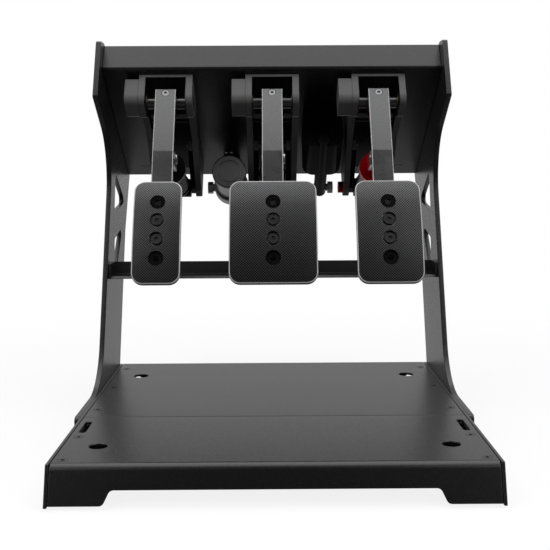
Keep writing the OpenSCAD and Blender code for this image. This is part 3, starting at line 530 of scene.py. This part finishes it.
# %% Brackets, cases and arms
SLOPE = radians(34)  # the deck's
DECK_DOWN = Vector((0, -sin(SLOPE), -cos(SLOPE)))
DECK_BACK = Vector((0, cos(SLOPE), -sin(SLOPE)))
CAST_ROUND, ARM_ROUND = 0.6 * MM, 0.9 * MM
CHEEK, HEEL, SIDE = 7 * MM, 4 * MM, 0.1 * MM  # how deep each of them reaches
FACING, LEANING = 0.7, 0.05  # how far a face turns to a direction, where 1 is all the way
# Places in a bracket's list of finishes: painted shade inside, and a painted highlight at the heel.
PAINTED_SHADE, PAINTED_HIGHLIGHT = 1, 2  # places in a bracket's list of finishes


def light_heel(mesh, corner):
    """Paints a highlight, the third finish, on the round at the lower rear corner of a case or bracket
    head.
    """
    for face in mesh.faces:
        down, back = face.normal.dot(DECK_DOWN), face.normal.dot(DECK_BACK)
        spot = face.calc_center_median() - corner
        if min(down, back) > LEANING and max(abs(spot.y), abs(spot.z)) < HEEL:
            face.material_index = PAINTED_HIGHLIGHT


def shade_inside(mesh):
    """Paints shade, the second finish, on the faces of a bracket that lie behind its cheeks' outer skin.
    """
    across = [vert.co.x for vert in mesh.verts]
    middle, half = (max(across) + min(across)) / 2, (max(across) - min(across)) / 2
    for face in mesh.faces:
        inside = abs(face.calc_center_median().x - middle) < half - CHEEK
        if inside and face.normal.dot(-DECK_BACK) < FACING:
            face.material_index = PAINTED_SHADE


def outer_sides(mesh):
    """A test for the edges along a mesh's left and right sides."""
    across = [vert.co.x for vert in mesh.verts]
    left, right = min(across) + SIDE, max(across) - SIDE

    def on_a_side(edge):
        ends = [vert.co.x for vert in edge.verts]
        return max(ends) < left or min(ends) > right

    return on_a_side


# Painted shade inside each bracket, and a painted highlight at each bracket's and case's lower rear
# corner.
for node in every_pedal("bracket", "sensor_case"):
    mesh = merged(node)
    round_edges(mesh, CAST_ROUND)
    if node.endswith("_bracket"):
        shade_inside(mesh)
    case = points_of(node.split("_")[0] + "_sensor_case")
    light_heel(mesh, Vector(case[case[:, 2].argmin()]))
    stand_in(smooth_object(f"{node}_rounded", mesh, [finish_of(node), deep_black, bright_edge]), node)
# An arm's long side edges take a painted highlight.
for node in every_pedal("arm"):
    mesh = merged(node)
    round_edges(mesh, ARM_ROUND, outer_sides(mesh), material=1)
    stand_in(smooth_object(f"{node}_rounded", mesh, [finish_of(node), bright_edge]), node)
print(len(every_pedal("bracket", "sensor_case", "arm")), "brackets, cases and arms rounded")

# %% [markdown]
# The other rigid nodes have one finish each. Folded sheet has the widest round and turned parts the
# narrowest. Where edges crowd together, as on the axles, the width gives way.

# %% Rounded copies of the other rigid nodes
ROUNDS = {
    0.9 * MM: ["heel_plate", "rear_plate"],
    0.6 * MM: [
        "left_upright", "right_upright", "left_base_rail", "right_base_rail", "cross_bar",
        "pedal_deck", "controller_case", "accumulator", "slave_cylinder", "rubber_feet",
        *every_pedal("pad_mount", "master_cylinder", "gland")],
    0.35 * MM: [
        "brake_cross_bolt", "slave_cap", "accumulator_tube",
        *every_pedal("axle", "fork_pin", "trunnion", "trunnion_bolts", "rod", "pushrod", "bearings")],
}
CROWDED = ["cross_bar", *every_pedal("axle", "master_cylinder")]

for width, nodes in ROUNDS.items():
    for node in nodes:
        mesh = merged(node)
        round_edges(mesh, width, crowded=node in CROWDED)
        stand_in(smooth_object(f"{node}_rounded", mesh, [finish_of(node)]), node)
print(sum(map(len, ROUNDS.values())), "other nodes rounded")

# %% [markdown]
# A pad is cut from bowed plate, faced with the weave, and its rim is milled back to a bright bevel of
# bare metal,
# drawn with a painted highlight. Its two empty holes take painted shade. The weave needs flat
# coordinates:
# metres across the pad and metres up it, kept in a UV map.

# %% Pads
RIM, HOLE_RIM = 1.2 * MM, 0.3 * MM
HOLES_ACROSS, HOLES_END = 11 * MM, 12 * MM  # the holes' edges stay inside these
HOLE_LIFT, OUTER_HOLE, HOLE_REACH = 1 * MM, 32.3 * MM, 8.4 * MM  # the top and bottom holes


def up_the_pad(points):
    """The pad's long direction in the Y-Z plane, from the spread of its points."""
    _, ways = np.linalg.eigh(np.cov((points - points.mean(0))[:, 1:].T))
    longest = ways[:, 1]
    return np.array([0, *longest]) * (1 if longest[1] > 0 else -1)


def pad_piece(node):
    """The pad with its rim's painted highlight, painted shade in its two empty holes, and its weave."""
    mesh = merged(node)
    points = np.array([vert.co for vert in mesh.verts])
    middle = middle_of(points)
    up = up_the_pad(points)
    height = np.ptp(points @ up)

    def on_rim(edge):
        spot = np.array((edge.verts[0].co + edge.verts[1].co) / 2) - middle
        return abs(spot[0]) > HOLES_ACROSS or abs(spot @ up) > height / 2 - HOLES_END

    def in_empty_hole(face):
        spots = np.array([vert.co for vert in face.verts]) - middle
        from_hole = abs(spots @ up - HOLE_LIFT) - OUTER_HOLE
        return (np.hypot(spots[:, 0], from_hole) < HOLE_REACH).all()

    # The rim's bevel takes the painted highlight, which also stands for its bare milled metal.
    round_edges(mesh, RIM, on_rim, material=1)
    round_edges(mesh, HOLE_RIM, lambda edge: not on_rim(edge))
    # Painted shade: the walls of the two empty holes take the near-black finish.
    for face in filter(in_empty_hole, mesh.faces):
        face.material_index = 2
    weave = mesh.loops.layers.uv.new("weave")
    for face in mesh.faces:
        for loop in face.loops:
            spot = np.array(loop.vert.co) - middle
            loop[weave].uv = (spot[0], spot @ up)
    finishes = [FINISHES["carbon_pad"], bright_edge, deep_black]
    stand_in(smooth_object(f"{node}_faced", mesh, finishes), node)
    print(f"{node}: {np.ptp(points[:, 0]) / MM:.0f} x {height / MM:.0f} mm")


for node in every_pedal("pad"):
    pad_piece(node)

# %% [markdown]
# Screws, knurled nuts and springs follow a rule, so each is a Geometry Nodes tree with named inputs.
# Its form is set on points that carry the way each copy faces, and comes out as a plain mesh.

# %% Geometry Nodes tools
NUMBER, COUNT, METAL = "NodeSocketFloat", "NodeSocketInt", "NodeSocketMaterial"
FORM_CREASE = radians(35)


class Recipe(NodeTree):
    """A Geometry Nodes tree with named inputs, for a form set on points that say where they face."""

    def __init__(self, name, **inputs):
        super().__init__(bpy.data.node_groups.new(name, "GeometryNodeTree"))
        face = self.tree.interface
        face.new_socket("Points", in_out="INPUT", socket_type="NodeSocketGeometry")
        self.names = {}
        for label, kind in inputs.items():
            self.names[label] = face.new_socket(label, in_out="INPUT", socket_type=kind).identifier
        face.new_socket("Form", in_out="OUTPUT", socket_type="NodeSocketGeometry")
        self.start = self.tree.nodes.new("NodeGroupInput")

    def given(self, label):
        return Value(self, self.start.outputs[label])

    def moved(self, form, height):
        offset = self.node("ShaderNodeCombineXYZ", {}, {2: height})
        return self.node("GeometryNodeTransform", {}, {"Geometry": form, "Translation": offset})

    def union(self, *forms):
        whole = self.node("GeometryNodeMeshBoolean", {"operation": "UNION"})
        for form in forms:
            self.tree.links.new(form.socket, whole.socket.node.inputs[1])
        return whole

    def cut(self, form, tool):
        return self.node("GeometryNodeMeshBoolean", {"operation": "DIFFERENCE"}, {0: form, 1: tool})

    def bar(self, radius, length, sides=32):
        """A round or many-sided bar, its middle at the origin."""
        return self.node(
            "GeometryNodeMeshCylinder", {}, {"Vertices": sides, "Radius": radius, "Depth": length})

    def set_out(self, form):
        """One copy of the form on each point, turned to face the point's way."""
        facing = self.node(
            "GeometryNodeInputNamedAttribute", {"data_type": "FLOAT_VECTOR"}, {"Name": "facing"})
        turn = self.node("FunctionNodeAlignRotationToVector", {"axis": "Z"}, {"Vector": facing})
        copies = self.node(
            "GeometryNodeInstanceOnPoints", {},
            {"Points": self.given("Points"), "Instance": form, "Rotation": turn})
        real = self.node("GeometryNodeRealizeInstances", {}, {"Geometry": copies})
        painted = self.node(
            "GeometryNodeSetMaterial", {}, {"Geometry": real, "Material": self.given("finish")})
        self.node("NodeGroupOutput", {}, {"Form": painted})


def grown(name, recipe, points, facings, **settings):
    """The recipe's form on each point, as one plain mesh."""
    data = bpy.data.meshes.new(name)
    data.from_pydata([tuple(point) for point in points], [], [])
    ways = data.attributes.new("facing", "FLOAT_VECTOR", "POINT")
    ways.data.foreach_set("vector", np.array(facings, dtype=float).ravel())
    made = bpy.data.objects.new(name, data)
    scene.collection.objects.link(made)
    growth = made.modifiers.new(name, "NODES")
    growth.node_group = recipe.tree
    for label, value in settings.items():
        growth[recipe.names[label]] = value
    settled(made)
    made.data.polygons.foreach_set("use_smooth", [True] * len(made.data.polygons))
    made.data.set_sharp_from_angle(angle=FORM_CREASE)
    return made


print("recipe tools ready")

# %% [markdown]
# A screw is a head with a hexagon socket on a shank. A countersunk head narrows to the shank, and
# any other keeps its width. A small slope takes off the head's edge.

# %% The screw's recipe
def screw_recipe():
    recipe = Recipe(
        "screw", head_radius=NUMBER, neck_radius=NUMBER, head_height=NUMBER, edge=NUMBER,
        shank_radius=NUMBER, shank_length=NUMBER, socket_radius=NUMBER, socket_depth=NUMBER,
        finish=METAL)
    given = recipe.given
    body = recipe.node("GeometryNodeMeshCone", {}, {
        "Vertices": 32, "Radius Top": given("head_radius"), "Radius Bottom": given("neck_radius"),
        "Depth": given("head_height") - given("edge")})
    crown = recipe.node("GeometryNodeMeshCone", {}, {
        "Vertices": 32, "Radius Top": given("head_radius") - given("edge"),
        "Radius Bottom": given("head_radius"), "Depth": given("edge")})
    body = recipe.moved(body, -given("head_height"))
    crown = recipe.moved(crown, -given("edge"))
    shank = recipe.bar(given("shank_radius"), given("shank_length"))
    shank = recipe.moved(shank, -given("head_height") - given("shank_length") / 2)
    key = recipe.bar(given("socket_radius"), given("socket_depth") * 2, 6)
    recipe.set_out(recipe.cut(recipe.union(body, crown, shank), key))
    return recipe


screw = screw_recipe()
print("screw takes", ", ".join(screw.names))

# %% [markdown]
# Each solid of a screw node is measured along the way its head faces, and a fuller screw of the same
# size, with its hexagon socket, takes its place. A node's screws are then joined into one piece.

# %% Screw tools
AT_THE_END = 0.01 * MM
SUNK_EDGE, PLAIN_EDGE = 0.1 * MM, 0.5 * MM
SOCKET_WIDTH, SOCKET_DEPTH = 0.45, 0.6  # shares of the head


def solids(node):
    """The points of each separate solid of a node."""
    mesh = merged(node)
    left = set(mesh.verts)
    found = []
    while left:
        reach = [left.pop()]
        group = []
        while reach:
            vert = reach.pop()
            group.append(np.array(vert.co))
            for edge in vert.link_edges:
                other = edge.other_vert(vert)
                if other in left:
                    left.remove(other)
                    reach.append(other)
        found.append(np.array(group))
    mesh.free()
    return found


def joined(name, pieces):
    """Several objects as one mesh that keeps their finishes."""
    mesh = bmesh.new()
    finishes = []
    for piece in pieces:
        before = len(mesh.faces)
        mesh.from_mesh(piece.data)
        finish = piece.data.materials[-1]
        if finish not in finishes:
            finishes.append(finish)
        mesh.faces.ensure_lookup_table()
        for face in mesh.faces[before:]:
            face.material_index = finishes.index(finish)
        bpy.data.objects.remove(piece)
    data = bpy.data.meshes.new(name)
    mesh.to_mesh(data)
    mesh.free()
    for finish in finishes:
        data.materials.append(finish)
    made = bpy.data.objects.new(name, data)
    scene.collection.objects.link(made)
    return made


def screw_set(node, facing_of, head_height, sunk, painted=lambda spot: None):
    """Replaces every screw of a node. facing_of gives the head's way from the screw's middle."""
    made = []
    for points in solids(node):
        middle = middle_of(points)
        way = np.array(facing_of(middle), dtype=float)
        along = points @ way
        top = middle_of(points[along > along.max() - AT_THE_END])
        away = off_line(points, top, way)
        head, shank = away.max(), away[along < along.min() + AT_THE_END].max()
        made.append(grown(
            f"{node}_{len(made)}", screw, [top], [way], head_radius=head,
            neck_radius=shank if sunk else head, head_height=head_height,
            edge=SUNK_EDGE if sunk else PLAIN_EDGE, shank_radius=shank,
            shank_length=np.ptp(along) - head_height, socket_radius=head * SOCKET_WIDTH,
            socket_depth=head_height * SOCKET_DEPTH, finish=painted(middle) or finish_of(node)))
    stand_in(joined(f"{node}_socketed", made), node)
    print(f"{node}: {len(made)}")


print("screw tools ready")

# %% [markdown]
# The heel plate's screws face up, the uprights' face out, the brackets' stand on the deck, and a
# pedal's follow the bend of its arm. The one beside the axle is bare grey metal, the rest are black.

# %% Screws
LOOKS_AHEAD = 0.7
BELOW_AXLE = 10 * MM


def arm_faces(pedal):
    """For a spot on a pedal, the way that the nearer front face of its arm looks."""
    mesh = merged(f"{pedal}_arm")
    fronts = [face for face in mesh.faces if face.normal.y < -LOOKS_AHEAD]
    fronts = sorted(fronts, key=lambda face: face.calc_area())[-2:]
    ways = [(face.calc_center_median().z, tuple(face.normal)) for face in fronts]
    mesh.free()
    return lambda spot: min(ways, key=lambda way: abs(way[0] - spot[2]))[1]


def top_screw_grey(pedal):
    """Grey for a screw near the axle, and no finish of its own for one lower down."""
    lowest = points_of(f"{pedal}_axle")[:, 2].min() - BELOW_AXLE
    return lambda spot: FINISHES["grey_anodised"] if spot[2] > lowest else None


def facing_out(spot):
    return (1 if spot[0] > 0 else -1, 0, 0)


screw_set("heel_screws", lambda spot: (0, 0, 1), 2 * MM, sunk=True)
screw_set("upright_screws", facing_out, 3 * MM, sunk=True)
screw_set("bracket_screws", lambda spot: -DECK_DOWN, 6 * MM, sunk=False)
for pedal in PEDALS:
    screw_set(
        f"{pedal}_pedal_screws", arm_faces(pedal), 3 * MM, sunk=False,
        painted=top_screw_grey(pedal))

# %% [markdown]
# The preload nuts are turned by hand, so their rims are knurled: a wheel rolls fine ridges into the
# metal. Every second corner of a many-sided bar is drawn in a little, and the rod's bore is cut.

# %% Preload nuts
RIDGE, RIDGES = 0.7 * MM, 44
COLLAR_RADIUS, COLLAR_LENGTH = 10 * MM, 4 * MM


def wheel_recipe():
    recipe = Recipe(
        "knurled_wheel", radius=NUMBER, width=NUMBER, ridge=NUMBER, bore=NUMBER,
        collar_radius=NUMBER, collar_length=NUMBER, ridges=COUNT, finish=METAL)
    given = recipe.given
    rim = recipe.bar(given("radius"), given("width"), given("ridges") * 2)
    drawn_in = 1 - recipe.node("GeometryNodeInputIndex") % 2 * given("ridge") / given("radius")
    scale = recipe.node("ShaderNodeCombineXYZ", {}, {0: drawn_in, 1: drawn_in, 2: 1.0})
    corner = recipe.node("GeometryNodeInputPosition")
    spot = recipe.node("ShaderNodeVectorMath", {"operation": "MULTIPLY"}, {0: corner, 1: scale})
    rim = recipe.node("GeometryNodeSetPosition", {}, {"Geometry": rim, "Position": spot})
    collar = recipe.bar(given("collar_radius"), given("collar_length"))
    collar = recipe.moved(collar, (given("width") + given("collar_length")) / 2)
    hole = recipe.bar(given("bore"), given("width") * 4)
    recipe.set_out(recipe.cut(recipe.union(rim, collar), hole))
    return recipe


wheel = wheel_recipe()
for pedal in SPRUNG:
    node = f"{pedal}_preload_nut"
    axis = np.array(joint_of[f"{pedal}_slide"]["axis"], dtype=float)
    points = points_of(node)
    along = points @ axis
    heart = points.mean(0)
    away = off_line(points, heart, axis)
    width = np.ptp(along) - COLLAR_LENGTH
    middle = heart + axis * (along.max() - width / 2 - heart @ axis)
    made = grown(
        f"{node}_knurled", wheel, [middle], [-axis], radius=away.max(), width=width, ridge=RIDGE,
        bore=away.min(), collar_radius=COLLAR_RADIUS, collar_length=COLLAR_LENGTH, ridges=RIDGES,
        finish=finish_of(node))
    stand_in(made, node)
    print(f"{node}: {2 * away.max() / MM:.0f} mm wide, bored {2 * away.min() / MM:.1f} mm")

# %% [markdown]
# A spring is wound from one wire. Its end turns lie flat, so that it stands square on its seats,
# and the turns between them share the rest of its length.

# %% Springs
WIRE_RADIUS = 2 * MM
TURNS, FLAT_TURNS = 9.0, 1.2


def spring_recipe():
    recipe = Recipe(
        "spring", length=NUMBER, coil_radius=NUMBER, wire_radius=NUMBER, turns=NUMBER,
        flat_turns=NUMBER, finish=METAL)
    given = recipe.given
    line = recipe.node("GeometryNodeCurvePrimitiveLine")
    path = recipe.node("GeometryNodeResampleCurve", {}, {"Curve": line, "Count": 360})
    share = recipe.node("GeometryNodeSplineParameter")
    flat = given("flat_turns") / given("turns")

    def climb(start, end):
        return recipe.node("ShaderNodeMapRange", {}, {"Value": share, 1: start, 2: end})

    flat_rise = given("flat_turns") * given("wire_radius") * 2
    free_rise = given("length") - 2 * given("wire_radius") - 2 * flat_rise
    height = given("wire_radius") + flat_rise * (climb(0.0, flat) + climb(1 - flat, 1.0))
    height = height + free_rise * climb(flat, 1 - flat)
    angle = share * given("turns") * (2 * pi)
    spot = recipe.node("ShaderNodeCombineXYZ", {}, {
        0: given("coil_radius") * angle.math("COSINE", angle),
        1: given("coil_radius") * angle.math("SINE", angle), 2: height})
    coil = recipe.node("GeometryNodeSetPosition", {}, {"Geometry": path, "Position": spot})
    ring = recipe.node(
        "GeometryNodeCurvePrimitiveCircle", {}, {"Resolution": 14, "Radius": given("wire_radius")})
    recipe.set_out(recipe.node(
        "GeometryNodeCurveToMesh", {}, {"Curve": coil, "Profile Curve": ring, "Fill Caps": True}))
    return recipe


spring = spring_recipe()
for pedal in SPRUNG:
    node = f"{pedal}_spring"
    slide = joint_of[f"{pedal}_slide"]
    axis = np.array(slide["axis"], dtype=float)
    points = points_of(node)
    along = points @ axis
    length = np.ptp(along)
    middle = middle_of(points)
    front = middle + axis * (along.min() - middle @ axis)
    seat = front + axis * length
    made = grown(
        node + "_wound", spring, [front], [axis], length=length,
        coil_radius=np.ptp(points[:, 0]) / 2 - WIRE_RADIUS, wire_radius=WIRE_RADIUS,
        turns=TURNS, flat_turns=FLAT_TURNS, finish=finish_of(node))
    stand_in(made, node)
    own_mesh(made)
    print(f"{node}: {length / MM:.0f} mm long, {slide['range_m'][1] / MM:.0f} mm of travel")
